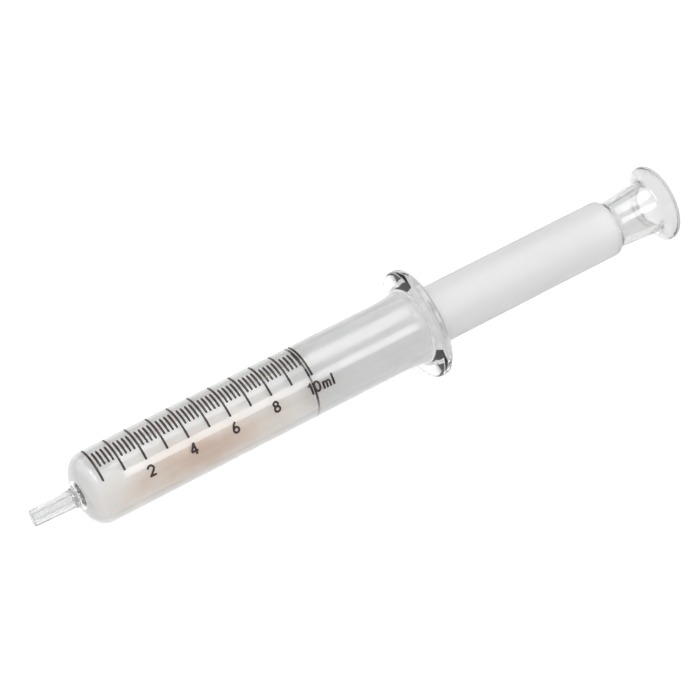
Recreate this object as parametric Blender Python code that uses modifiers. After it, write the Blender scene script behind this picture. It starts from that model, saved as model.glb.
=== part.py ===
# Ten millilitre glass syringe: a blown barrel with a finger flange and a tapered
# glass tip, a hollow ground plunger, and a fired enamel scale on the barrel.
# The syringe lies along X with its tip towards -X, and its flange touches Z = 0.

import math

import bmesh
import bpy

MM = 0.001

# Driving sizes, in millimetres and degrees unless the name says otherwise.
CAPACITY_ML = 10
BORE_DIAMETER = 15.0
BARREL_WALL = 1.6
PLUNGER_CLEARANCE = 0.05
GRIP_LENGTH = 34.8            # from the full mark to the back of the finger flange

TIP_END_DIAMETER = 4.0
TIP_TAPER = 0.06              # growth of the diameter per length, as on any slip tip
TIP_LENGTH = 9.0
TIP_BORE_DIAMETER = 1.8
TIP_EDGE_ROUND = 0.25
NECK_LENGTH = 2.6             # hollow curve between the tip and the front dome
NECK_DIAMETER = 7.0           # where that curve meets the dome
DOME_DEPTH = 5.2
DOME_STAND_OFF = 0.6          # from the zero mark to where the dome begins outside
CHAMBER_DOME_DEPTH = 3.7
CHAMBER_STAND_OFF = 0.3       # from the zero mark to where the dome begins inside

FLANGE_DIAMETER = 28.8
FLANGE_RIM_ROUND = 1.3
FLANGE_SLOPE = 12.0           # of its front face, from square to the axis
FLANGE_FILLET = 1.2
MOUTH_ROUND = 0.6

PLUNGER_WALL = 1.5
PLUNGER_FRONT_WALL = 2.0
PLUNGER_EDGE_ROUND = 0.8
PLUNGER_HOLLOW_ROUND = 2.5
SHOULDER_STAND_OFF = 0.3      # shoulder left behind the flange when pushed right in
SHOULDER_LENGTH = 2.0
SHOULDER_HOLLOW_LENGTH = 3.5
SHOULDER_HOLLOW_LEAD = 1.4    # the hollow narrows this far ahead of the shoulder
PLUNGER_TAIL = 16.3           # from the end of the ground part to the thumb face
NECK_OUTER_DIAMETER = 12.4    # at the shoulder
NECK_END_DIAMETER = 13.8      # where the thumb flange begins
NECK_WALL = 1.45
THUMB_DIAMETER = 20.4
THUMB_RIM_ROUND = 0.65
THUMB_SLOPE = 36.0
THUMB_FILLET = 2.5
THUMB_MOUTH_DIAMETER = 17.4

MARK_WIDTH = 0.45
MARK_ARC = 73.2               # angle that a whole-millilitre line takes round the barrel
ENAMEL_THICKNESS = 0.12
ENAMEL_GAP = 0.05
NUMERAL_ANGLE = 54.5          # from the middle of the scale, round to the front
NUMERAL_HEIGHT = 3.0
CAPITAL_SHARE = 0.73          # a numeral's height as a share of its text size
ONE_WIDTH = 1.25
ONE_STEM = 0.5
ONE_FLAG_DROP = 0.75          # from the top of the 1 down to the outer end of its flag
ONE_FLAG_THICKNESS = 0.45
GLYPH_SPACING = 0.3
UNIT_CAPTION_LEAD = 0.35      # how much of the last caption lies before its line

FACETS = 48                   # sides of everything turned, so that facets line up
ARC_STEPS = 4
DOME_STEPS = 7
MERGE = 1e-6

# What follows from the sizes above.
BORE_RADIUS = BORE_DIAMETER / 2
BARREL_RADIUS = BORE_RADIUS + BARREL_WALL
ML_LENGTH = 1000.0 / (math.pi * BORE_RADIUS ** 2)
SCALE_LENGTH = CAPACITY_ML * ML_LENGTH
BARREL_BACK = SCALE_LENGTH + GRIP_LENGTH
FLANGE_RADIUS = FLANGE_DIAMETER / 2
NECK_RADIUS = NECK_DIAMETER / 2

DOME_TURN = math.asin(NECK_RADIUS / BARREL_RADIUS)
DOME_FOOT = -DOME_STAND_OFF - DOME_DEPTH * math.cos(DOME_TURN)
TIP_BASE = DOME_FOOT - NECK_LENGTH
TIP_END = TIP_BASE - TIP_LENGTH
TIP_END_RADIUS = TIP_END_DIAMETER / 2
TIP_BASE_RADIUS = TIP_END_RADIUS + TIP_LENGTH * TIP_TAPER / 2
TIP_BORE_RADIUS = TIP_BORE_DIAMETER / 2

PLUNGER_RADIUS = BORE_RADIUS - PLUNGER_CLEARANCE
PLUNGER_HOLLOW_RADIUS = PLUNGER_RADIUS - PLUNGER_WALL
GROUND_LENGTH = BARREL_BACK + SHOULDER_STAND_OFF
PLUNGER_LENGTH = GROUND_LENGTH + PLUNGER_TAIL
NECK_OUTER_RADIUS = NECK_OUTER_DIAMETER / 2
NECK_HOLLOW_RADIUS = NECK_OUTER_RADIUS - NECK_WALL
NECK_END_RADIUS = NECK_END_DIAMETER / 2
NECK_END_HOLLOW_RADIUS = NECK_END_RADIUS - NECK_WALL

FACET_TURN = 2 * math.pi / FACETS
FACET_WIDTH = BARREL_RADIUS * FACET_TURN
MIDDLE = (TIP_END + SCALE_LENGTH + PLUNGER_LENGTH) / 2


def clear_scene():
    for obj in list(bpy.data.objects):
        bpy.data.objects.remove(obj, do_unlink=True)
    for block in list(bpy.data.collections):
        bpy.data.collections.remove(block)


def make_collection(name):
    collection = bpy.data.collections.new(name)
    bpy.context.scene.collection.children.link(collection)
    return collection


def make_material(name, colour, roughness, transmission):
    material = bpy.data.materials.new(name)
    material.use_nodes = True
    shader = material.node_tree.nodes["Principled BSDF"]
    shader.inputs["Base Color"].default_value = (*colour, 1.0)
    shader.inputs["Roughness"].default_value = roughness
    shader.inputs["Metallic"].default_value = 0.0
    shader.inputs["Transmission Weight"].default_value = transmission
    shader.inputs["IOR"].default_value = 1.5
    return material


def arc(centre, radius, start, end, steps=ARC_STEPS):
    # Points of an arc in the plane of radius and length, from one angle to another.
    points = []
    for step in range(steps + 1):
        turn = math.radians(start + (end - start) * step / steps)
        points.append((centre[0] + radius * math.cos(turn),
                       centre[1] + radius * math.sin(turn)))
    return points


def bend(start, corner, end, steps=ARC_STEPS):
    # A smooth turn from start to end that would meet at the corner.
    points = []
    for step in range(steps + 1):
        share = step / steps
        near = (1 - share) ** 2
        middle = 2 * share * (1 - share)
        far = share ** 2
        points.append((near * start[0] + middle * corner[0] + far * end[0],
                       near * start[1] + middle * corner[1] + far * end[1]))
    return points


def dome(radius, depth, foot_radius, level):
    # From the full radius down to the foot radius, on an ellipse below the level.
    start = math.pi / 2
    end = math.asin(foot_radius / radius)
    points = []
    for step in range(DOME_STEPS + 1):
        turn = start + (end - start) * step / DOME_STEPS
        points.append((radius * math.sin(turn), level - depth * math.cos(turn)))
    return points


def flange(body_radius, rim_radius, back, rim_round, slope, fillet):
    # Rounded rim, sloping front face and hollow fillet, from the flat back forwards.
    rim_centre = (rim_radius - rim_round, back - rim_round)
    points = arc(rim_centre, rim_round, 90, 0)
    points += arc(rim_centre, rim_round, 0, slope - 90)[1:]
    lean = math.radians(slope)
    turned = math.pi / 2 - lean
    foot_radius = body_radius + fillet * (1 - math.cos(turned))
    front = points[-1]
    foot_level = front[1] - (front[0] - foot_radius) * math.tan(lean)
    fillet_centre = (body_radius + fillet, foot_level - fillet * math.sin(turned))
    points += arc(fillet_centre, fillet, 90 + slope, 180)
    return points


def barrel_profile():
    outside = flange(BARREL_RADIUS, FLANGE_RADIUS, BARREL_BACK,
                     FLANGE_RIM_ROUND, FLANGE_SLOPE, FLANGE_FILLET)
    outside += dome(BARREL_RADIUS, DOME_DEPTH, NECK_RADIUS, -DOME_STAND_OFF)
    outside += bend((NECK_RADIUS, DOME_FOOT), (TIP_BASE_RADIUS, DOME_FOOT),
                    (TIP_BASE_RADIUS, TIP_BASE))[1:]
    outside += arc((TIP_END_RADIUS - TIP_EDGE_ROUND, TIP_END + TIP_EDGE_ROUND),
                   TIP_EDGE_ROUND, 0, -90, 2)
    chamber = dome(BORE_RADIUS, CHAMBER_DOME_DEPTH, TIP_BORE_RADIUS, -CHAMBER_STAND_OFF)
    inside = [(TIP_BORE_RADIUS, TIP_END)]
    inside += reversed(chamber)
    inside += arc((BORE_RADIUS + MOUTH_ROUND, BARREL_BACK - MOUTH_ROUND),
                  MOUTH_ROUND, 180, 90, 2)
    return outside + inside


def plunger_profile():
    round_radius = PLUNGER_HOLLOW_RADIUS - PLUNGER_HOLLOW_ROUND
    inside = [(0.0, PLUNGER_FRONT_WALL)]
    inside += arc((round_radius, PLUNGER_FRONT_WALL + PLUNGER_HOLLOW_ROUND),
                  PLUNGER_HOLLOW_ROUND, -90, 0)
    narrowing = GROUND_LENGTH - SHOULDER_HOLLOW_LEAD
    narrowed = narrowing + SHOULDER_HOLLOW_LENGTH
    half_way = ((PLUNGER_HOLLOW_RADIUS + NECK_HOLLOW_RADIUS) / 2,
                (narrowing + narrowed) / 2)
    inside += bend((PLUNGER_HOLLOW_RADIUS, narrowing),
                   (PLUNGER_HOLLOW_RADIUS, (narrowing + half_way[1]) / 2), half_way, 2)
    inside += bend(half_way, (NECK_HOLLOW_RADIUS, (narrowed + half_way[1]) / 2),
                   (NECK_HOLLOW_RADIUS, narrowed), 2)[1:]
    lean = math.radians(THUMB_SLOPE)
    mouth_radius = THUMB_MOUTH_DIAMETER / 2
    cone_foot = PLUNGER_LENGTH - (mouth_radius - NECK_END_HOLLOW_RADIUS) * math.tan(lean)
    reach = THUMB_FILLET * math.tan((math.pi / 2 - lean) / 2)
    inside += bend((NECK_END_HOLLOW_RADIUS, cone_foot - reach),
                   (NECK_END_HOLLOW_RADIUS, cone_foot),
                   (NECK_END_HOLLOW_RADIUS + reach * math.cos(lean),
                    cone_foot + reach * math.sin(lean)))
    inside.append((mouth_radius, PLUNGER_LENGTH))
    outside = flange(NECK_END_RADIUS, THUMB_DIAMETER / 2, PLUNGER_LENGTH,
                     THUMB_RIM_ROUND, THUMB_SLOPE, THUMB_FILLET)
    outside += bend((NECK_OUTER_RADIUS, GROUND_LENGTH + SHOULDER_LENGTH),
                    (NECK_OUTER_RADIUS, GROUND_LENGTH), (
                        (NECK_OUTER_RADIUS + PLUNGER_RADIUS) / 2, GROUND_LENGTH))
    outside += bend(((NECK_OUTER_RADIUS + PLUNGER_RADIUS) / 2, GROUND_LENGTH),
                    (PLUNGER_RADIUS, GROUND_LENGTH),
                    (PLUNGER_RADIUS, GROUND_LENGTH - SHOULDER_LENGTH / 2))[1:]
    outside += arc((PLUNGER_RADIUS - PLUNGER_EDGE_ROUND, PLUNGER_EDGE_ROUND),
                   PLUNGER_EDGE_ROUND, 0, -90)
    outside.append((0.0, 0.0))
    return inside + outside


def turned_piece(name, profile, closed, material, carrier, collection):
    # The profile is turned about local Z, and the piece is then laid along X.
    points = [(radius * MM, 0.0, level * MM) for radius, level in profile]
    edges = [(i, i + 1) for i in range(len(points) - 1)]
    if closed:
        edges.append((len(points) - 1, 0))
    mesh = bpy.data.meshes.new(name)
    mesh.from_pydata(points, edges, [])
    mesh.materials.append(material)
    obj = bpy.data.objects.new(name, mesh)
    collection.objects.link(obj)
    screw = obj.modifiers.new("turn", "SCREW")
    screw.axis = "Z"
    screw.steps = FACETS
    screw.render_steps = FACETS
    screw.use_merge_vertices = True
    screw.merge_threshold = MERGE
    screw.use_smooth_shade = True
    obj.rotation_euler = (0.0, math.pi / 2, 0.0)
    obj.parent = carrier
    return obj


def carrier_at(name, along, collection):
    # A frame on the syringe's axis, at a length from the zero mark.
    empty = bpy.data.objects.new(name, None)
    empty.location = ((along - MIDDLE) * MM, 0.0, FLANGE_RADIUS * MM)
    collection.objects.link(empty)
    return empty


def wrap_on_barrel(bm):
    # A flat piece drawn in X (along), Y (round the barrel) and Z (out of the glass)
    # is cut at the barrel's facet edges and laid on its facets.
    reach = max(abs(vert.co.y) for vert in bm.verts) / MM
    for facet in range(-int(reach / FACET_WIDTH) - 1, int(reach / FACET_WIDTH) + 2):
        geometry = bm.verts[:] + bm.edges[:] + bm.faces[:]
        bmesh.ops.bisect_plane(bm, geom=geometry, dist=MERGE * 0.1,
                               plane_co=(0.0, facet * FACET_WIDTH * MM, 0.0),
                               plane_no=(0.0, 1.0, 0.0))
    flat_distance = BARREL_RADIUS * math.cos(FACET_TURN / 2)
    for vert in bm.verts:
        place = vert.co.y / MM / FACET_WIDTH
        facet = math.floor(place)
        share = place - facet
        side_a = -facet * FACET_TURN
        side_b = -(facet + 1) * FACET_TURN
        across = -(1 - share) * math.sin(side_a) - share * math.sin(side_b)
        upward = (1 - share) * math.cos(side_a) + share * math.cos(side_b)
        lift = 1 + (ENAMEL_GAP + vert.co.z / MM) / flat_distance
        vert.co.y = across * BARREL_RADIUS * lift * MM
        vert.co.z = upward * BARREL_RADIUS * lift * MM


def enamel_piece(name, bm, material, carrier, collection):
    wrap_on_barrel(bm)
    bmesh.ops.triangulate(bm, faces=bm.faces[:])
    bmesh.ops.recalc_face_normals(bm, faces=bm.faces[:])
    mesh = bpy.data.meshes.new(name)
    bm.to_mesh(mesh)
    bm.free()
    mesh.materials.append(material)
    obj = bpy.data.objects.new(name, mesh)
    obj.parent = carrier
    collection.objects.link(obj)
    return obj


def scale_line(millilitre, material, carrier, collection):
    bm = bmesh.new()
    bmesh.ops.create_cube(bm, size=1.0)
    arc_length = BARREL_RADIUS * math.radians(MARK_ARC)
    bmesh.ops.scale(bm, vec=(MARK_WIDTH * MM, arc_length * MM, ENAMEL_THICKNESS * MM),
                    verts=bm.verts[:])
    bmesh.ops.translate(bm, vec=(millilitre * ML_LENGTH * MM, 0.0, ENAMEL_THICKNESS / 2 * MM),
                        verts=bm.verts[:])
    return enamel_piece(f"scale_line_{millilitre:02d}", bm, material, carrier, collection)


def text_curve(character):
    curve = bpy.data.curves.new("glyph", "FONT")
    curve.body = character
    curve.size = NUMERAL_HEIGHT / CAPITAL_SHARE * MM
    curve.resolution_u = 3
    return curve


def one_curve():
    # The outline of a 1 with a flag, because the plain face draws it as a bare bar.
    curve = bpy.data.curves.new("glyph", "CURVE")
    curve.dimensions = "2D"
    curve.fill_mode = "BOTH"
    stem_left = ONE_WIDTH - ONE_STEM
    flag_end = NUMERAL_HEIGHT - ONE_FLAG_DROP
    flag_half = ONE_FLAG_THICKNESS / 2
    outline = [(stem_left, 0.0), (ONE_WIDTH, 0.0), (ONE_WIDTH, NUMERAL_HEIGHT),
               (stem_left + flag_half, NUMERAL_HEIGHT), (0.0, flag_end + flag_half),
               (0.0, flag_end - flag_half), (stem_left, flag_end)]
    spline = curve.splines.new("POLY")
    spline.points.add(len(outline) - 1)
    for point, (along, upward) in zip(spline.points, outline):
        point.co = (along * MM, upward * MM, 0.0, 1.0)
    spline.use_cyclic_u = True
    return curve


def glyph_mesh(character):
    # One solid character, as tall as the numerals, lying on its base line.
    curve = one_curve() if character == "1" else text_curve(character)
    curve.extrude = ENAMEL_THICKNESS / 2 * MM
    obj = bpy.data.objects.new("glyph", curve)
    bpy.context.scene.collection.objects.link(obj)
    depsgraph = bpy.context.evaluated_depsgraph_get()
    mesh = bpy.data.meshes.new_from_object(obj.evaluated_get(depsgraph))
    bpy.data.objects.remove(obj, do_unlink=True)
    bpy.data.curves.remove(curve)
    bm = bmesh.new()
    bm.from_mesh(mesh)
    bpy.data.meshes.remove(mesh)
    bmesh.ops.remove_doubles(bm, verts=bm.verts[:], dist=MERGE)
    return bm


def glyph_span(bm):
    along = [vert.co.x / MM for vert in bm.verts]
    return min(along), max(along)


def scale_caption(names, characters, millilitre, lead, material, carrier, collection):
    # Characters in a row under the line of their volume, as pieces of their own.
    glyphs = [glyph_mesh(character) for character in characters]
    widths = [glyph_span(bm)[1] - glyph_span(bm)[0] for bm in glyphs]
    total = sum(widths) + GLYPH_SPACING * (len(glyphs) - 1)
    start = millilitre * ML_LENGTH - total * lead
    base = -BARREL_RADIUS * math.radians(NUMERAL_ANGLE) - NUMERAL_HEIGHT / 2
    for name, bm, width in zip(names, glyphs, widths):
        place = (start - glyph_span(bm)[0], base, ENAMEL_THICKNESS / 2)
        bmesh.ops.translate(bm, verts=bm.verts[:], vec=[size * MM for size in place])
        enamel_piece(name, bm, material, carrier, collection)
        start += width + GLYPH_SPACING


def build():
    clear_scene()
    parts = make_collection("glass_syringe")
    clear_glass = make_material("clear_glass", (0.93, 0.95, 0.95), 0.05, 1.0)
    ground_glass = make_material("ground_glass", (0.86, 0.87, 0.87), 0.45, 0.9)
    enamel = make_material("enamel", (0.05, 0.022, 0.018), 0.3, 0.0)

    barrel_carrier = carrier_at("barrel_axis", 0.0, parts)
    turned_piece("barrel", barrel_profile(), True, clear_glass, barrel_carrier, parts)

    plunger_carrier = carrier_at("plunger_slide", SCALE_LENGTH, parts)
    turned_piece("plunger", plunger_profile(), False, ground_glass, plunger_carrier, parts)

    for millilitre in range(CAPACITY_ML + 1):
        scale_line(millilitre, enamel, barrel_carrier, parts)
    for millilitre in range(2, CAPACITY_ML, 2):
        scale_caption([f"numeral_{millilitre}"], str(millilitre), millilitre, 0.5,
                      enamel, barrel_carrier, parts)
    full = str(CAPACITY_ML)
    digit_names = [f"numeral_{full}_digit_{place + 1}" for place in range(len(full))]
    scale_caption([*digit_names, "unit_m", "unit_l"], full + "ml", CAPACITY_ML,
                  UNIT_CAPTION_LEAD, enamel, barrel_carrier, parts)


build()
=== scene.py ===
import math
import bpy
from mathutils import Matrix, Vector


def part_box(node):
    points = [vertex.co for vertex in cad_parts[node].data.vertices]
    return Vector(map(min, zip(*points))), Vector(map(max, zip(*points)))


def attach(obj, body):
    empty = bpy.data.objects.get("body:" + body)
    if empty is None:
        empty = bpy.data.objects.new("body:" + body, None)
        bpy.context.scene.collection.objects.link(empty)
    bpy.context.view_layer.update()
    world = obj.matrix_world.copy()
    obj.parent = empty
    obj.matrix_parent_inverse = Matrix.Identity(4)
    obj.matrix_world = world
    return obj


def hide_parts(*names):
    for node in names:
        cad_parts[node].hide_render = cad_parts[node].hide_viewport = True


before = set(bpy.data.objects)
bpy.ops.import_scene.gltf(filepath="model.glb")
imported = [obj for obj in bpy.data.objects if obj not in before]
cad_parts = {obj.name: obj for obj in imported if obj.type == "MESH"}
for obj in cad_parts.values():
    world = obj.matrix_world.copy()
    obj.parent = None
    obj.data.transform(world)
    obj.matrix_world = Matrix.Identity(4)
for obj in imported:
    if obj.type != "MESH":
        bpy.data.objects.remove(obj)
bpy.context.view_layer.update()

# lengths are in millimetres from the zero mark towards the thumb end, radii from the syringe's axis
mm = 0.001
zeroBox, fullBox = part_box("scale_line_00"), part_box("scale_line_10")
barrelBox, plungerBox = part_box("barrel"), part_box("plunger")
zeroX = (zeroBox[0][0] + zeroBox[1][0]) / 2 / mm
axisZ = (barrelBox[0][2] + barrelBox[1][2]) / 2 / mm
fullLength = (fullBox[0][0] + fullBox[1][0]) / 2 / mm - zeroX
mlLength = fullLength / 10


def say(text):
    print("syringe:", text)


def only(piece):
    bpy.ops.object.select_all(action="DESELECT")
    piece.select_set(True)
    bpy.context.view_layer.objects.active = piece


def named(piece, name):
    piece.name = name
    piece.data.name = name
    return piece


# node groups that more than one finish uses

def newGroup(name, inputs, outputs):
    group = bpy.data.node_groups.new(name, "ShaderNodeTree")
    for label, kind, value in inputs:
        socket = group.interface.new_socket(label, in_out="INPUT", socket_type=kind)
        if value is not None:
            socket.default_value = value
    for label, kind in outputs:
        group.interface.new_socket(label, in_out="OUTPUT", socket_type=kind)
    return group, group.nodes.new("NodeGroupInput"), group.nodes.new("NodeGroupOutput")


def addNode(tree, kind, settings=None, **inputs):
    node = tree.nodes.new(kind)
    for key, value in (settings or {}).items():
        setattr(node, key, value)
    for key, value in inputs.items():
        socket = node.inputs[int(key[2:])] if key.startswith("in") else node.inputs[key]
        if hasattr(value, "is_output"):
            tree.links.new(value, socket)
        else:
            socket.default_value = value
    return node


def makeRippleGroup():
    # the long soft waves of drawn tubing, and the faint film that handling leaves
    group, given, result = newGroup(
        "drawn_glass_ripple",
        [("Vector", "NodeSocketVector", None), ("Scale", "NodeSocketFloat", 160.0),
         ("Stretch", "NodeSocketFloat", 0.12), ("Film", "NodeSocketFloat", 0.04)],
        [("Height", "NodeSocketFloat"), ("Roughness", "NodeSocketFloat")])
    squeeze = addNode(group, "ShaderNodeCombineXYZ", in0=given.outputs["Stretch"], in1=1.0, in2=1.0)
    along = addNode(group, "ShaderNodeVectorMath", {"operation": "MULTIPLY"},
                    in0=given.outputs["Vector"], in1=squeeze.outputs[0])
    wave = addNode(group, "ShaderNodeTexNoise", Vector=along.outputs[0],
                   Scale=given.outputs["Scale"], Detail=1.5, Roughness=0.4)
    smear = addNode(group, "ShaderNodeTexNoise", Vector=given.outputs["Vector"],
                    Scale=95.0, Detail=4.0, Roughness=0.6, Distortion=0.8)
    patches = addNode(group, "ShaderNodeMapRange", in0=smear.outputs[0], in1=0.5, in2=0.72,
                      in3=0.0, in4=given.outputs["Film"])
    group.links.new(wave.outputs[0], result.inputs["Height"])
    group.links.new(patches.outputs[0], result.inputs["Roughness"])
    return group


def makeGroundGroup():
    # a surface ground with fine grit while it turned: grit pits and faint rings
    group, given, result = newGroup(
        "ground_with_grit",
        [("Vector", "NodeSocketVector", None), ("Grit", "NodeSocketFloat", 9000.0),
         ("Roughness", "NodeSocketFloat", 0.4), ("Spread", "NodeSocketFloat", 0.08)],
        [("Height", "NodeSocketFloat"), ("Roughness", "NodeSocketFloat"),
         ("Cloud", "NodeSocketFloat")])
    grit = addNode(group, "ShaderNodeTexNoise", Vector=given.outputs["Vector"],
                   Scale=given.outputs["Grit"], Detail=2.0, Roughness=0.6)
    turning = addNode(group, "ShaderNodeVectorMath", {"operation": "MULTIPLY"},
                      in0=given.outputs["Vector"], in1=(3200.0, 60.0, 60.0))
    rings = addNode(group, "ShaderNodeTexNoise", Vector=turning.outputs[0],
                    Scale=1.0, Detail=3.0, Roughness=0.7)
    height = addNode(group, "ShaderNodeMath", {"operation": "MULTIPLY_ADD"},
                     in0=rings.outputs[0], in1=0.35, in2=grit.outputs[0])
    cloud = addNode(group, "ShaderNodeTexNoise", Vector=given.outputs["Vector"],
                    Scale=140.0, Detail=5.0, Roughness=0.55)
    lowest = addNode(group, "ShaderNodeMath", {"operation": "SUBTRACT"},
                     in0=given.outputs["Roughness"], in1=given.outputs["Spread"])
    highest = addNode(group, "ShaderNodeMath", {"operation": "ADD"},
                      in0=given.outputs["Roughness"], in1=given.outputs["Spread"])
    rough = addNode(group, "ShaderNodeMapRange", in0=cloud.outputs[0], in1=0.3, in2=0.7,
                    in3=lowest.outputs[0], in4=highest.outputs[0])
    group.links.new(height.outputs[0], result.inputs["Height"])
    group.links.new(rough.outputs[0], result.inputs["Roughness"])
    group.links.new(cloud.outputs[0], result.inputs["Cloud"])
    return group


rippleGroup = makeRippleGroup()
groundGroup = makeGroundGroup()


def newMaterial(name):
    material = bpy.data.materials.new(name)
    material.use_nodes = True
    tree = material.node_tree
    place = tree.nodes.new("ShaderNodeTexCoord").outputs["Object"]
    return material, tree, tree.nodes["Principled BSDF"], place


def useGroup(tree, group, **inputs):
    return addNode(tree, "ShaderNodeGroup", {"node_tree": group}, **inputs).outputs


clearGlassLook = {
    "colour": (0.975, 0.98, 0.977, 1),
    "ior": 1.48,
    "rippleScale": 170.0,
    "rippleDepth": 0.00001,
    "film": 0.01,
}


def makeClearGlass():
    look = clearGlassLook
    material, tree, shader, place = newMaterial("clear_glass")
    ripple = useGroup(tree, rippleGroup, Vector=place, Scale=look["rippleScale"], Film=look["film"])
    bump = addNode(tree, "ShaderNodeBump", Distance=look["rippleDepth"], Height=ripple["Height"])
    shader.inputs["Base Color"].default_value = look["colour"]
    shader.inputs["IOR"].default_value = look["ior"]
    shader.inputs["Transmission Weight"].default_value = 1
    tree.links.new(ripple["Roughness"], shader.inputs["Roughness"])
    tree.links.new(bump.outputs[0], shader.inputs["Normal"])
    return material


workedGlassLook = {
    # painted shade: both colours grey the clear glass, the second towards the thumb end
    "colour": (0.81, 0.815, 0.81, 1),
    "thickShadeColour": (0.75, 0.755, 0.75, 1),
    "thickReach": 7.0,         # how far the thick glass reaches from the thumb end, in mm
    "transmission": 0.88,
    "ior": 1.48,
    "rippleScale": 420.0,
    "rippleDepth": 0.00006,
    "film": 0.03,
}


def makeWorkedGlass():
    # glass that was drawn and flared in the flame: wavier; its grey is painted shade, darker towards
    # the thumb end where the glass is thick
    look = workedGlassLook
    material, tree, shader, place = newMaterial("worked_glass")
    ripple = useGroup(tree, rippleGroup, Vector=place, Scale=look["rippleScale"], Stretch=1.0,
                      Film=look["film"])
    bump = addNode(tree, "ShaderNodeBump", Distance=look["rippleDepth"], Height=ripple["Height"])
    end = plungerBox[1][0]
    along = addNode(tree, "ShaderNodeSeparateXYZ", Vector=place)
    thick = addNode(tree, "ShaderNodeMapRange", {"interpolation_type": "SMOOTHSTEP"},
                    in0=along.outputs["X"], in1=end - look["thickReach"] * mm,
                    in2=end - look["thickReach"] * mm / 2)
    colour = addNode(tree, "ShaderNodeMix", {"data_type": "RGBA"}, in0=thick.outputs[0],
                     in6=look["colour"], in7=look["thickShadeColour"])
    tree.links.new(colour.outputs[2], shader.inputs["Base Color"])
    tree.links.new(ripple["Roughness"], shader.inputs["Roughness"])
    tree.links.new(bump.outputs[0], shader.inputs["Normal"])
    shader.inputs["IOR"].default_value = look["ior"]
    shader.inputs["Transmission Weight"].default_value = look["transmission"]
    return material


groundBoreLook = {
    "colour": (0.99, 0.99, 0.99, 1),
    "cloudColour": (1.0, 1.0, 1.0, 1),
    # painted reflection: a warm brown haze with a darker core on the front side of the bore
    "stainColour": (0.86, 0.71, 0.59, 1),
    "reflectionCoreColour": (0.74, 0.54, 0.44, 1),
    "hazeFade": (0.45, 1.45),               # where the haze and its core fade, as shares of the reach
    "coreFade": (0.35, 0.85),
    "wander": 0.7,
    "stainCentre": (25.0, -7.0, 1.8),       # from the zero mark and the axis, in mm
    "stainReach": (38.0, 6.5, 8.5),
    "transmission": 0.4,
    "ior": 1.48,
    "roughness": 0.65,
    "spread": 0.05,
    "gritDepth": 0.000004,
}


def makeGroundBore():
    look = groundBoreLook
    material, tree, shader, place = newMaterial("ground_bore")
    ground = useGroup(tree, groundGroup, Vector=place, Roughness=look["roughness"],
                      Spread=look["spread"])
    bump = addNode(tree, "ShaderNodeBump", Distance=look["gritDepth"], Height=ground["Height"])
    # painted reflection: a brown haze and a darker core, fading out from a point on the bore's front
    # side
    centre = look["stainCentre"]
    middle = ((zeroX + centre[0]) * mm, centre[1] * mm, (axisZ + centre[2]) * mm)
    reach = tuple(1 / (size * mm) for size in look["stainReach"])
    offset = addNode(tree, "ShaderNodeVectorMath", {"operation": "SUBTRACT"}, in0=place, in1=middle)
    share = addNode(tree, "ShaderNodeVectorMath", {"operation": "MULTIPLY"},
                    in0=offset.outputs[0], in1=reach)
    far = addNode(tree, "ShaderNodeVectorMath", {"operation": "LENGTH"}, in0=share.outputs[0])
    wander = addNode(tree, "ShaderNodeMath", {"operation": "MULTIPLY_ADD"},
                     in0=ground["Cloud"], in1=look["wander"], in2=far.outputs["Value"])
    stain = addNode(tree, "ShaderNodeMapRange", {"interpolation_type": "SMOOTHSTEP"},
                    in0=wander.outputs[0], in1=look["hazeFade"][0], in2=look["hazeFade"][1],
                    in3=1.0, in4=0.0)
    cloudy = addNode(tree, "ShaderNodeMix", {"data_type": "RGBA"}, in0=ground["Cloud"],
                     in6=look["colour"], in7=look["cloudColour"])
    hazy = addNode(tree, "ShaderNodeMix", {"data_type": "RGBA"}, in0=stain.outputs[0],
                   in6=cloudy.outputs[2], in7=look["stainColour"])
    core = addNode(tree, "ShaderNodeMapRange", {"interpolation_type": "SMOOTHSTEP"},
                   in0=wander.outputs[0], in1=look["coreFade"][0], in2=look["coreFade"][1],
                   in3=1.0, in4=0.0)
    reflectedColour = addNode(tree, "ShaderNodeMix", {"data_type": "RGBA"}, in0=core.outputs[0],
                      in6=hazy.outputs[2], in7=look["reflectionCoreColour"])
    tree.links.new(reflectedColour.outputs[2], shader.inputs["Base Color"])
    tree.links.new(ground["Roughness"], shader.inputs["Roughness"])
    tree.links.new(bump.outputs[0], shader.inputs["Normal"])
    shader.inputs["IOR"].default_value = look["ior"]
    shader.inputs["Transmission Weight"].default_value = look["transmission"]
    return material


groundPlungerLook = {
    "colour": (0.81, 0.81, 0.81, 1),
    "cloudColour": (0.85, 0.85, 0.85, 1),
    "transmission": 0.6,
    "ior": 1.48,
    "shine": 0.3,
    "roughness": 0.6,
    "spread": 0.06,
    "gritDepth": 0.000005,
}


def makeGroundPlunger():
    look = groundPlungerLook
    material, tree, shader, place = newMaterial("ground_plunger")
    ground = useGroup(tree, groundGroup, Vector=place, Roughness=look["roughness"],
                      Spread=look["spread"])
    bump = addNode(tree, "ShaderNodeBump", Distance=look["gritDepth"], Height=ground["Height"])
    cloudy = addNode(tree, "ShaderNodeMix", {"data_type": "RGBA"}, in0=ground["Cloud"],
                     in6=look["colour"], in7=look["cloudColour"])
    tree.links.new(cloudy.outputs[2], shader.inputs["Base Color"])
    tree.links.new(ground["Roughness"], shader.inputs["Roughness"])
    tree.links.new(bump.outputs[0], shader.inputs["Normal"])
    shader.inputs["IOR"].default_value = look["ior"]
    shader.inputs["Specular IOR Level"].default_value = look["shine"]
    shader.inputs["Transmission Weight"].default_value = look["transmission"]
    return material


# painted shade ahead of the plunger's front edge: near black above the axis, paler below
paintedShadeLineLook = {
    "dark": (0.006, 0.006, 0.006, 1),
    "pale": (0.42, 0.40, 0.38, 1),
    "darkFrom": 1.9,           # height above the axis where the line is darkest, in mm
    "paleFrom": -1.3,
    "roughness": 0.5,
    "pitScale": 2500.0,
    "pitDepth": 0.000005,
}


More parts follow.
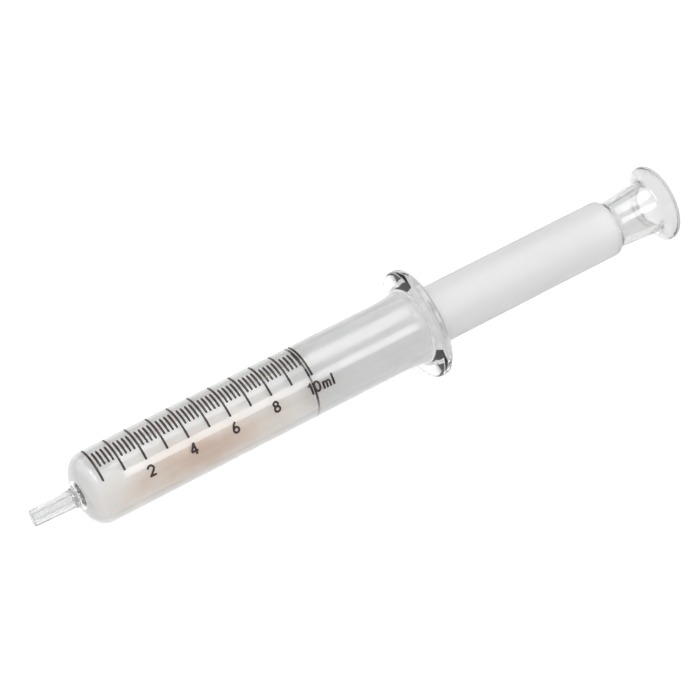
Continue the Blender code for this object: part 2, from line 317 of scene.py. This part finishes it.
def makePaintedShadeLine():
    # painted shade: a dark line for the shade that refraction casts at the plunger's front edge,
    # paler towards the bottom
    look = paintedShadeLineLook
    material, tree, shader, place = newMaterial("painted_shade_front_line")
    height = addNode(tree, "ShaderNodeSeparateXYZ", Vector=place)
    share = addNode(tree, "ShaderNodeMapRange", in0=height.outputs["Z"],
                    in1=(axisZ + look["paleFrom"]) * mm, in2=(axisZ + look["darkFrom"]) * mm)
    pits = addNode(tree, "ShaderNodeTexNoise", Vector=place, Scale=look["pitScale"], Detail=3.0)
    uneven = addNode(tree, "ShaderNodeMath", {"operation": "MULTIPLY_ADD", "use_clamp": True},
                     in0=pits.outputs[0], in1=0.1, in2=share.outputs[0])
    colour = addNode(tree, "ShaderNodeMix", {"data_type": "RGBA"}, in0=uneven.outputs[0],
                     in6=look["pale"], in7=look["dark"])
    rough = addNode(tree, "ShaderNodeMapRange", in0=pits.outputs[0], in1=0.3, in2=0.7,
                    in3=look["roughness"] - 0.1, in4=look["roughness"] + 0.1)
    bump = addNode(tree, "ShaderNodeBump", Distance=look["pitDepth"], Height=pits.outputs[0])
    tree.links.new(colour.outputs[2], shader.inputs["Base Color"])
    tree.links.new(rough.outputs[0], shader.inputs["Roughness"])
    tree.links.new(bump.outputs[0], shader.inputs["Normal"])
    return material


enamelLook = {
    "thick": (0.010, 0.005, 0.004, 1),
    "thin": (0.045, 0.016, 0.011, 1),
    "patchScale": 900.0,
    "roughness": (0.25, 0.5),
    "pitDepth": 0.00001,
}


def makeEnamel():
    # fired brown enamel, redder where it went on thin
    look = enamelLook
    material, tree, shader, place = newMaterial("fired_enamel")
    patch = addNode(tree, "ShaderNodeTexNoise", Vector=place, Scale=look["patchScale"],
                    Detail=3.0, Roughness=0.6)
    thin = addNode(tree, "ShaderNodeMapRange", in0=patch.outputs[0], in1=0.42, in2=0.72)
    colour = addNode(tree, "ShaderNodeMix", {"data_type": "RGBA"}, in0=thin.outputs[0],
                     in6=look["thick"], in7=look["thin"])
    rough = addNode(tree, "ShaderNodeMapRange", in0=patch.outputs[0], in1=0.3, in2=0.7,
                    in3=look["roughness"][0], in4=look["roughness"][1])
    bump = addNode(tree, "ShaderNodeBump", Distance=look["pitDepth"], Height=patch.outputs[0])
    tree.links.new(colour.outputs[2], shader.inputs["Base Color"])
    tree.links.new(rough.outputs[0], shader.inputs["Roughness"])
    tree.links.new(bump.outputs[0], shader.inputs["Normal"])
    return material


clearGlass = makeClearGlass()
workedGlass = makeWorkedGlass()
paintedShadeLine = makePaintedShadeLine()
groundBore = makeGroundBore()
groundPlunger = makeGroundPlunger()
enamel = makeEnamel()
say("finishes mixed")


# outlines of turned pieces: points of (radius, length)

def arc(centre, radius, start, end, steps):
    points = []
    for step in range(steps + 1):
        turn = math.radians(start + (end - start) * step / steps)
        points.append((centre[0] + radius * math.cos(turn), centre[1] + radius * math.sin(turn)))
    return points


def bend(start, corner, end, steps):
    points = []
    for step in range(steps + 1):
        share = step / steps
        weights = ((1 - share) ** 2, 2 * share * (1 - share), share ** 2)
        points.append(tuple(sum(w * p[i] for w, p in zip(weights, (start, corner, end)))
                            for i in (0, 1)))
    return points


def dome(radius, depth, footRadius, level, steps):
    start, end = math.pi / 2, math.asin(footRadius / radius)
    points = []
    for step in range(steps + 1):
        turn = start + (end - start) * step / steps
        points.append((radius * math.sin(turn), level - depth * math.cos(turn)))
    return points


def flange(bodyRadius, rimRadius, back, rimRound, rimFlat, slope, fillet, flare, steps):
    # rim, sloping face, fillet, and a gentle flare (height, angle) that leads into it
    points = arc((rimRadius - rimRound, back - rimRound), rimRound, 90, 0, steps)
    points += arc((rimRadius - rimRound, back - rimRound - rimFlat), rimRound, 0, slope - 90, steps)
    lean, lead = math.radians(slope), math.radians(flare[1])
    reach = bodyRadius + flare[0] + fillet * math.cos(lead)
    footRadius = reach - fillet * math.sin(lean)
    footLevel = points[-1][1] - (points[-1][0] - footRadius) * math.tan(lean)
    points += arc((reach, footLevel - fillet * math.cos(lean)), fillet,
                  90 + slope, 180 - flare[1], steps)
    run = flare[0] / math.tan(lead)
    start = points[-1]
    points += bend(start, (bodyRadius, start[1] - run), (bodyRadius, start[1] - 2 * run), steps)[1:]
    return points


def turnedPiece(name, profile, closed, sides):
    # the outline is drawn point by point, then spun about the axis
    points = [Vector(((zeroX + level) * mm, 0, (axisZ + radius) * mm)) for radius, level in profile]
    if closed:
        points.append(points[0])
    bpy.ops.object.select_all(action="DESELECT")
    bpy.ops.mesh.primitive_plane_add(size=mm, location=points[0])
    piece = named(bpy.context.object, name)
    bpy.ops.object.mode_set(mode="EDIT")
    bpy.ops.mesh.select_all(action="SELECT")
    bpy.ops.mesh.merge(type="CENTER")
    for before, after in zip(points, points[1:]):
        bpy.ops.mesh.extrude_region_move(TRANSFORM_OT_translate={"value": after - before})
    bpy.ops.mesh.select_all(action="SELECT")
    bpy.ops.mesh.remove_doubles(threshold=1e-6)
    bpy.ops.mesh.spin(steps=sides, angle=2 * math.pi, center=(0, 0, axisZ * mm), axis=(1, 0, 0))
    bpy.ops.mesh.select_all(action="SELECT")
    bpy.ops.mesh.remove_doubles(threshold=1e-6)
    bpy.ops.mesh.normals_make_consistent(inside=False)
    bpy.ops.object.mode_set(mode="OBJECT")
    bpy.ops.object.transform_apply(location=True, rotation=True, scale=True)
    bpy.ops.object.shade_smooth_by_angle(angle=math.radians(40))
    return piece


def faceFacts(piece):
    # each face with its distance from the axis, its length, and how far it looks outwards
    for face in piece.data.polygons:
        across = Vector((face.center.y, face.center.z - axisZ * mm)) / mm
        outward = Vector((face.normal.y, face.normal.z)).dot(across.normalized())
        yield face, across.length, face.center.x / mm - zeroX, outward


barrel = {
    "boreRadius": 7.5,
    "wall": 1.6,
    "tipEndRadius": 2.0,
    "tipBaseRadius": 2.27,
    "tipLength": 9.0,
    "tipBoreRadius": 0.9,
    "tipEdgeRound": 0.25,
    "workedReach": 1.6,        # how far the flame-worked glass goes past the tip's root
    "domeDepth": 5.2,
    "domeLevel": -0.6,
    "neckRadius": 3.5,
    "chamberDepth": 3.1,
    "chamberLevel": -0.9,
    "rimRound": 1.0,
    "rimFlat": 0.6,
    "flangeSlope": 12.0,
    "flangeFillet": 2.0,
    "flangeFlare": (0.45, 8.0),
    "mouthRound": 0.6,
    "clearMouth": 1.2,
    "clearRing": 0.4,          # the clear glass round the tip's bore
    "sides": 160,
    "arcSteps": 10,
}
barrelRadius = barrel["boreRadius"] + barrel["wall"]
flangeRadius = (barrelBox[1][1] - barrelBox[0][1]) / 2 / mm
tipEnd = barrelBox[0][0] / mm - zeroX
barrelBack = barrelBox[1][0] / mm - zeroX


def makeBarrel():
    b = barrel
    steps = b["arcSteps"]
    front = dome(barrelRadius, b["domeDepth"], b["neckRadius"], b["domeLevel"], 2 * steps)
    outside = flange(barrelRadius, flangeRadius, barrelBack, b["rimRound"], b["rimFlat"],
                     b["flangeSlope"], b["flangeFillet"], b["flangeFlare"], steps)
    outside += front
    outside += bend(front[-1], (b["tipBaseRadius"], front[-1][1]),
                    (b["tipBaseRadius"], tipEnd + b["tipLength"]), steps)[1:]
    outside += arc((b["tipEndRadius"] - b["tipEdgeRound"], tipEnd + b["tipEdgeRound"]),
                   b["tipEdgeRound"], 0, -90, 4)
    inside = [(b["tipBoreRadius"], tipEnd)]
    inside += reversed(dome(b["boreRadius"], b["chamberDepth"], b["tipBoreRadius"],
                            b["chamberLevel"], 2 * steps))
    inside += arc((b["boreRadius"] + b["mouthRound"], barrelBack - b["mouthRound"]),
                  b["mouthRound"], 180, 90, 5)
    piece = turnedPiece("barrel_glass", outside + inside, True, b["sides"])
    for finish in (clearGlass, groundBore, workedGlass):
        piece.data.materials.append(finish)
    groundFrom = b["tipBoreRadius"] + b["clearRing"]
    for face, distance, length, outward in faceFacts(piece):
        inBore = outward < -0.2 and distance > groundFrom and length < barrelBack - b["clearMouth"]
        onTip = length < tipEnd + b["tipLength"] + b["workedReach"]
        face.material_index = 1 if inBore else 2 if onTip else 0
    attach(piece, "barrel")
    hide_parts("barrel")
    say("barrel turned")


plunger = {
    "radius": 7.45,
    "wall": 1.5,
    "frontWall": 2.0,
    "edgeRound": 0.4,
    "hollowRound": 2.5,
    "behindFlange": 0.3,       # how far the ground part ends behind the flange when pushed in
    "shoulderLength": 2.0,
    "hollowLead": 1.4,
    "hollowTaper": 3.5,
    "neckRadius": 6.2,
    "neckEndRadius": 6.9,
    "neckWall": 1.45,
    "rimRound": 0.3,
    "rimFlat": 0.55,
    "thumbSlope": 36.0,
    "thumbFillet": 2.5,
    "thumbFlare": (0.15, 9.0),
    "hollowFillet": 0.3,
    "mouthRadius": 8.7,
    "groundStop": 0.4,         # how far before the shoulder the grinding stops
    "groundLip": 0.1,
    "rimSkin": 0.02,
    "sides": 160,
    "arcSteps": 10,
}
plungerFront = plungerBox[0][0] / mm - zeroX
plungerBack = plungerBox[1][0] / mm - zeroX
thumbRadius = (plungerBox[1][1] - plungerBox[0][1]) / 2 / mm
# at the zero mark the ground part fills the barrel and ends just behind the finger flange
groundEnd = plungerFront + barrelBack + plunger["behindFlange"]


def makePlunger():
    p = plunger
    steps = p["arcSteps"]
    hollow = p["radius"] - p["wall"]
    neckHollow = p["neckRadius"] - p["neckWall"]
    endHollow = p["neckEndRadius"] - p["neckWall"]
    inside = [(0.0, plungerFront + p["frontWall"])]
    inside += arc((hollow - p["hollowRound"], plungerFront + p["frontWall"] + p["hollowRound"]),
                  p["hollowRound"], -90, 0, steps)
    narrowing = groundEnd - p["hollowLead"]
    narrowed = narrowing + p["hollowTaper"]
    half = ((hollow + neckHollow) / 2, (narrowing + narrowed) / 2)
    inside += bend((hollow, narrowing), (hollow, (narrowing + half[1]) / 2), half, steps)
    inside += bend(half, (neckHollow, (narrowed + half[1]) / 2), (neckHollow, narrowed), steps)[1:]
    lean = math.radians(p["thumbSlope"])
    coneFoot = plungerBack - (p["mouthRadius"] - endHollow) * math.tan(lean)
    reach = p["hollowFillet"] * math.tan((math.pi / 2 - lean) / 2)
    inside += bend((endHollow, coneFoot - reach), (endHollow, coneFoot),
                   (endHollow + reach * math.cos(lean), coneFoot + reach * math.sin(lean)), steps)
    inside.append((p["mouthRadius"], plungerBack))
    outside = flange(p["neckEndRadius"], thumbRadius, plungerBack, p["rimRound"], p["rimFlat"],
                     p["thumbSlope"], p["thumbFillet"], p["thumbFlare"], steps)
    shoulder = ((p["neckRadius"] + p["radius"]) / 2, groundEnd)
    outside += bend((p["neckRadius"], groundEnd + p["shoulderLength"]),
                    (p["neckRadius"], groundEnd), shoulder, steps)
    outside += bend(shoulder, (p["radius"], groundEnd),
                    (p["radius"], groundEnd - p["shoulderLength"] / 2), steps)[1:]
    outside += arc((p["radius"] - p["edgeRound"], plungerFront + p["edgeRound"]),
                   p["edgeRound"], 0, -90, 6)
    outside.append((0.0, plungerFront))
    piece = turnedPiece("plunger_glass", inside + outside, False, p["sides"])
    piece.data.materials.append(workedGlass)
    piece.data.materials.append(groundPlunger)
    for face, distance, length, outward in faceFacts(piece):
        beforeStop = length < groundEnd - p["groundStop"]
        onSide = outward > 0.2 and distance > p["radius"] - p["wall"] / 2 and beforeStop
        onFront = length < plungerFront + p["edgeRound"] + p["groundLip"]
        onRim = distance > thumbRadius - p["rimSkin"]
        face.material_index = 1 if onSide or onFront or onRim else 0
    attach(piece, "plunger")
    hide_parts("plunger")
    say("plunger turned")


frontShadeLine = {
    "ahead": 0.76,             # from its front to the plunger's front
    "width": 0.6,
    "depth": 0.28,
    "foot": 0.1,               # how far it sits on the plunger's rounded edge
    "footGap": 0.08,
    "sunk": 0.02,              # how far it reaches into the ground surface of the bore
    "edgeRound": 0.06,
}


def makeFrontShadeLine():
    # a thin ring of painted shade in the bore, just ahead of the plunger's front edge
    f = frontShadeLine
    outer, rounding = barrel["boreRadius"] + f["sunk"], f["edgeRound"]
    inner, front = outer - f["depth"], plungerFront - f["ahead"]
    lip, back = front + f["width"], plungerFront + f["foot"]
    outline = [(inner, back), (outer - f["footGap"], back), (outer - f["footGap"], lip)]
    outline += arc((outer - rounding, lip - rounding), rounding, 90, 0, 4)
    outline += arc((outer - rounding, front + rounding), rounding, 0, -90, 4)
    outline += arc((inner + rounding, front + rounding), rounding, 270, 180, 4)
    piece = turnedPiece("front_line", outline, True, plunger["sides"])
    piece.data.materials.append(paintedShadeLine)
    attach(piece, "plunger")
    say("front line drawn")


scale = {
    "lineWidth": 0.56,
    "thickness": 0.06,
    "sunk": 0.01,              # how far the fired enamel reaches into the glass
    "longArc": 73.2,           # in degrees round the barrel
    "shortArc": 30.0,
    "perMillilitre": 5,
    "arcSteps": 24,
    "endRound": 0.24,
    "edgeRound": 0.02,
}


def enamelLine(name, arcAngle):
    # a small upright face is spun round the axis, so the line hugs the barrel
    s = scale
    radius = barrelRadius + s["thickness"] / 2 - s["sunk"]
    middle = (0, 0, axisZ * mm)
    place = Vector((zeroX * mm, 0, (axisZ + radius) * mm))
    bpy.ops.object.select_all(action="DESELECT")
    bpy.ops.mesh.primitive_plane_add(size=1, location=place)
    piece = named(bpy.context.object, name)
    bpy.ops.object.mode_set(mode="EDIT")
    bpy.ops.mesh.select_all(action="SELECT")
    bpy.ops.transform.resize(value=(s["lineWidth"] * mm, s["thickness"] * mm, 1),
                             center_override=place)
    bpy.ops.transform.rotate(value=math.pi / 2, orient_axis="X", center_override=place)
    bpy.ops.transform.rotate(value=-math.radians(arcAngle / 2), orient_axis="X",
                             center_override=middle)
    bpy.ops.mesh.spin(steps=s["arcSteps"], angle=math.radians(arcAngle), center=middle,
                      axis=(1, 0, 0))
    bpy.ops.mesh.select_all(action="SELECT")
    bpy.ops.mesh.normals_make_consistent(inside=False)
    bpy.ops.mesh.select_all(action="DESELECT")
    bpy.ops.object.mode_set(mode="OBJECT")
    bpy.ops.object.transform_apply(location=True, rotation=True, scale=True)
    bound = math.sin(math.radians(arcAngle / 2)) * (barrelRadius - s["sunk"]) * 0.999 * mm
    for edge in piece.data.edges:
        a, b = (piece.data.vertices[i].co for i in edge.vertices)
        edge.select = abs(a.x - b.x) < 1e-7 and min(abs(a.y), abs(b.y)) > bound
    bpy.ops.object.mode_set(mode="EDIT")
    bpy.ops.mesh.select_mode(type="EDGE")
    bpy.ops.mesh.bevel(offset=s["endRound"] * mm, segments=4)
    bpy.ops.mesh.select_mode(type="VERT")
    bpy.ops.object.mode_set(mode="OBJECT")
    return piece


def copyAlong(piece, name, length):
    # a copy with its own mesh, moved along the syringe
    other = piece.copy()
    other.data = piece.data.copy()
    bpy.context.collection.objects.link(other)
    named(other, name)
    other.location.x = length * mm
    only(other)
    bpy.ops.object.transform_apply(location=True, rotation=True, scale=True)
    return other


def joinPieces(pieces, name):
    only(pieces[0])
    for piece in pieces:
        piece.select_set(True)
    bpy.ops.object.join()
    return named(bpy.context.object, name)


def finishEnamel(piece, nodes):
    only(piece)
    soften = piece.modifiers.new("fired edge", "BEVEL")
    soften.width = scale["edgeRound"] * mm
    soften.segments = 2
    soften.limit_method = "ANGLE"
    soften.angle_limit = math.radians(60)
    bpy.ops.object.modifier_apply(modifier=soften.name)
    bpy.ops.object.shade_smooth_by_angle(angle=math.radians(35))
    piece.data.materials.clear()
    piece.data.materials.append(enamel)
    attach(piece, "barrel")
    if nodes:
        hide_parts(*nodes)


def makeScaleLines():
    s = scale
    firstLong = enamelLine("long_line_0", s["longArc"])
    longLines = [firstLong]
    for millilitre in range(1, 11):
        longLines.append(copyAlong(firstLong, f"long_line_{millilitre}", millilitre * mlLength))
    for millilitre, line in enumerate(longLines):
        finishEnamel(line, [f"scale_line_{millilitre:02d}"])
    step = mlLength / s["perMillilitre"]
    pattern = enamelLine("short_line", s["shortArc"])
    shortLines = [copyAlong(pattern, f"short_line_{number}", number * step)
                  for number in range(1, 10 * s["perMillilitre"]) if number % s["perMillilitre"]]
    bpy.data.objects.remove(pattern, do_unlink=True)
    finishEnamel(joinPieces(shortLines, "short_scale_lines"), [])
    say("scale lines drawn")


numerals = {
    "height": 3.0,
    "stroke": 0.58,            # width of the strokes
    "thickness": 0.07,
    "angle": 54.5,             # degrees from the middle of the scale, round to the front
    "grain": 0.055,            # how finely the strokes are fused
}


def glyphStrokes(character):
    # the middle lines of a character's strokes, as shares of its height
    circle = arc((0, 0), 1, 0, 360, 32)

    def ring(x, y, wide, high):
        return [(x + wide * c[0], y + high * c[1]) for c in circle]

    strokes = {
        "0": [ring(0.32, 0.5, 0.235, 0.413)],
        "1": [[(0.28, 0.0), (0.28, 1.0)], [(0.28, 0.9), (0.05, 0.73)]],
        "2": [arc((0.31, 0.667), 0.246, 175, -40, 14) + [(0.09, 0.087)],
              [(0.02, 0.087), (0.6, 0.087)]],
        "4": [[(0.44, 0.0), (0.44, 1.0)], [(0.42, 0.93), (0.07, 0.32)], [(0.04, 0.3), (0.64, 0.3)]],
        "6": [ring(0.31, 0.315, 0.225, 0.23), bend((0.44, 0.96), (0.13, 0.72), (0.085, 0.32), 8)],
        "8": [ring(0.31, 0.725, 0.19, 0.188), ring(0.31, 0.31, 0.225, 0.224)],
        "m": [[(0.08, 0.0), (0.08, 0.66)], arc((0.225, 0.44), 0.145, 180, 0, 10) + [(0.37, 0.0)],
              arc((0.515, 0.44), 0.145, 180, 0, 10) + [(0.66, 0.0)]],
        "l": [[(0.08, 0.0), (0.08, 1.0)]],
    }
    return strokes[character]


def makeNumeral(node, character):
    # tubes along the strokes are fused, pressed flat, bent round the barrel and turned to its side
    n = numerals
    curve = bpy.data.curves.new(node, "CURVE")
    curve.dimensions = "3D"
    curve.bevel_depth = n["stroke"] / 2
    curve.bevel_resolution = 3
    curve.use_fill_caps = True
    for stroke in glyphStrokes(character):
        closed = (Vector(stroke[0]) - Vector(stroke[-1])).length < 1e-6
        points = stroke[:-1] if closed else stroke
        line = curve.splines.new("POLY")
        line.points.add(len(points) - 1)
        line.use_cyclic_u = closed
        for point, (across, upward) in zip(line.points, points):
            point.co = (across * n["height"], 0, (upward - 0.5) * n["height"], 1)
    piece = bpy.data.objects.new(node, curve)
    bpy.context.collection.objects.link(piece)
    only(piece)
    bpy.ops.object.convert(target="MESH")
    piece = named(bpy.context.object, "enamel_" + node)
    fuse = piece.modifiers.new("fuse strokes", "REMESH")
    fuse.mode = "VOXEL"
    fuse.voxel_size = n["grain"]
    bpy.ops.object.modifier_apply(modifier=fuse.name)
    smooth = piece.modifiers.new("melt", "SMOOTH")
    smooth.factor = 0.5
    smooth.iterations = 4
    bpy.ops.object.modifier_apply(modifier=smooth.name)
    low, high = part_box(node)
    corners = [Vector(corner) for corner in piece.bound_box]
    middle = sum(corners, Vector()) / 8
    tall = max(corner.z for corner in corners) - min(corner.z for corner in corners)
    piece.location.x = -middle.x
    bpy.ops.object.transform_apply(location=True, rotation=True, scale=True)
    piece.scale = (1, n["thickness"] / n["stroke"], 1)
    bpy.ops.object.transform_apply(location=True, rotation=True, scale=True)
    wrap = piece.modifiers.new("round the barrel", "SIMPLE_DEFORM")
    wrap.deform_method = "BEND"
    wrap.deform_axis = "X"
    wrap.angle = tall / barrelRadius
    bpy.ops.object.modifier_apply(modifier=wrap.name)
    piece.scale = (mm, mm, mm)
    piece.location = ((low[0] + high[0]) / 2, -barrelRadius * mm, axisZ * mm)
    bpy.ops.object.transform_apply(location=True, rotation=True, scale=True)
    bpy.ops.object.mode_set(mode="EDIT")
    bpy.ops.mesh.select_all(action="SELECT")
    bpy.ops.transform.rotate(value=math.radians(90 - n["angle"]), orient_axis="X",
                             center_override=(0, 0, axisZ * mm))
    bpy.ops.mesh.normals_make_consistent(inside=False)
    bpy.ops.object.mode_set(mode="OBJECT")
    bpy.ops.object.shade_smooth()
    piece.data.materials.clear()
    piece.data.materials.append(enamel)
    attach(piece, "barrel")
    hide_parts(node)


def makeNumerals():
    for character in "2468":
        makeNumeral("numeral_" + character, character)
    for node, character in (("numeral_10_digit_1", "1"), ("numeral_10_digit_2", "0"),
                            ("unit_m", "m"), ("unit_l", "l")):
        makeNumeral(node, character)
    say("numerals fired on")


studio = {
    "floorSize": 1.6,
    "floorColour": (0.15, 0.15, 0.15, 1),
    "floorGlow": 0.89,         # a white sheet lit from below, so shadows on it are faint
    "surroundings": 0.66,
    "horizon": 0.4,
    "horizonTop": (0.0, 0.25),  # how high the dark of the room reaches, as sines
    "lampDistance": 1.2,
    # name, direction from the syringe, length and width in metres, brightness
    "lamps": [("upper_softbox", (0.333, 0.174, 0.941), 0.5, 0.80, 4.7),
              ("front_softbox", (0.333, -0.674, 0.678), 0.5, 0.45, 5.7),
              ("strip_light", (-0.35, -0.11, 0.93), 0.16, 1.0, 9.5)],
}


def makeFloor():
    # the syringe rests on the flange's rim and the barrel's front edge, so the floor slopes
    s = studio
    material, tree, shader, place = newMaterial("pale_floor")
    dust = addNode(tree, "ShaderNodeTexNoise", Vector=place, Scale=60.0, Detail=4.0)
    rough = addNode(tree, "ShaderNodeMapRange", in0=dust.outputs[0], in3=0.55, in4=0.75)
    shader.inputs["Base Color"].default_value = s["floorColour"]
    tree.links.new(rough.outputs[0], shader.inputs["Roughness"])
    shader.inputs["Emission Color"].default_value = (1, 1, 1, 1)
    shader.inputs["Emission Strength"].default_value = s["floorGlow"]
    rimX = barrelBack - barrel["rimRound"]
    dip = math.atan2(flangeRadius - barrelRadius, rimX - barrel["domeLevel"])
    bpy.ops.object.select_all(action="DESELECT")
    bpy.ops.mesh.primitive_plane_add(size=s["floorSize"], location=((zeroX + rimX) * mm, 0, 0),
                                     rotation=(0, dip, 0))
    floor = named(bpy.context.object, "studio_floor")
    bpy.ops.object.transform_apply(location=True, rotation=True, scale=True)
    floor.data.materials.append(material)
    say("floor laid")


def makeLamp(name, direction, length, width, brightness):
    s = studio
    data = bpy.data.lights.new(name, "AREA")
    data.shape = "RECTANGLE"
    data.size = length
    data.size_y = width
    data.energy = brightness * math.pi * length * width
    lamp = bpy.data.objects.new(name, data)
    bpy.context.collection.objects.link(lamp)
    ahead = Vector(direction).normalized()
    lamp.location = Vector(((zeroX + fullLength) * mm, 0, axisZ * mm)) + ahead * s["lampDistance"]
    across = ahead.cross(Vector((1, 0, 0))).normalized()
    along = across.cross(ahead)
    lamp.rotation_euler = Matrix((along, across, ahead)).transposed().to_euler()
    lamp.visible_camera = False


def makeLight():
    for lamp in studio["lamps"]:
        makeLamp(*lamp)
    world = bpy.data.worlds.new("studio")
    bpy.context.scene.world = world
    world.use_nodes = True
    tree, s = world.node_tree, studio
    up = addNode(tree, "ShaderNodeSeparateXYZ",
                 Vector=tree.nodes.new("ShaderNodeTexCoord").outputs["Generated"])
    shade = addNode(tree, "ShaderNodeMapRange", {"interpolation_type": "SMOOTHSTEP"},
                    in0=up.outputs["Z"], in1=s["horizonTop"][0], in2=s["horizonTop"][1],
                    in3=s["horizon"], in4=s["surroundings"])
    tree.links.new(shade.outputs[0], tree.nodes["Background"].inputs["Color"])
    scene = bpy.context.scene
    scene.view_settings.view_transform = "Standard"
    # light crosses many glass walls before it is spent
    scene.cycles.max_bounces = 24
    scene.cycles.transmission_bounces = 24
    scene.cycles.transparent_max_bounces = 32
    say("lamps set")


camera = {
    "place": (-103.6, -307.4, 388.6),       # from the zero mark on the axis, in mm
    "turn": 29.52,             # turn, down and roll are in degrees
    "down": 47.53,
    "roll": -4.18,
    "focalPixels": 2146.8,
    "framePixels": 700,
    "sensor": 36,
}


def makeCamera():
    c = camera
    data = bpy.data.cameras.new("studio_camera")
    data.sensor_width = c["sensor"]
    data.lens = c["focalPixels"] / c["framePixels"] * c["sensor"]
    data.clip_start = 0.01
    data.clip_end = 20
    holder = bpy.data.objects.new("studio_camera", data)
    bpy.context.collection.objects.link(holder)
    turn, down = math.radians(c["turn"]), math.radians(c["down"])
    ahead = Vector((math.sin(turn) * math.cos(down), math.cos(turn) * math.cos(down),
                    -math.sin(down)))
    place = Vector((zeroX + c["place"][0], c["place"][1], axisZ + c["place"][2])) * mm
    holder.matrix_world = (Matrix.Translation(place)
                           @ ahead.to_track_quat("-Z", "Y").to_matrix().to_4x4()
                           @ Matrix.Rotation(math.radians(c["roll"]), 4, "Z"))
    bpy.context.scene.camera = holder
    say("camera placed")


makeBarrel()
makePlunger()
makeFrontShadeLine()
makeScaleLines()
makeNumerals()
makeFloor()
makeLight()
makeCamera()
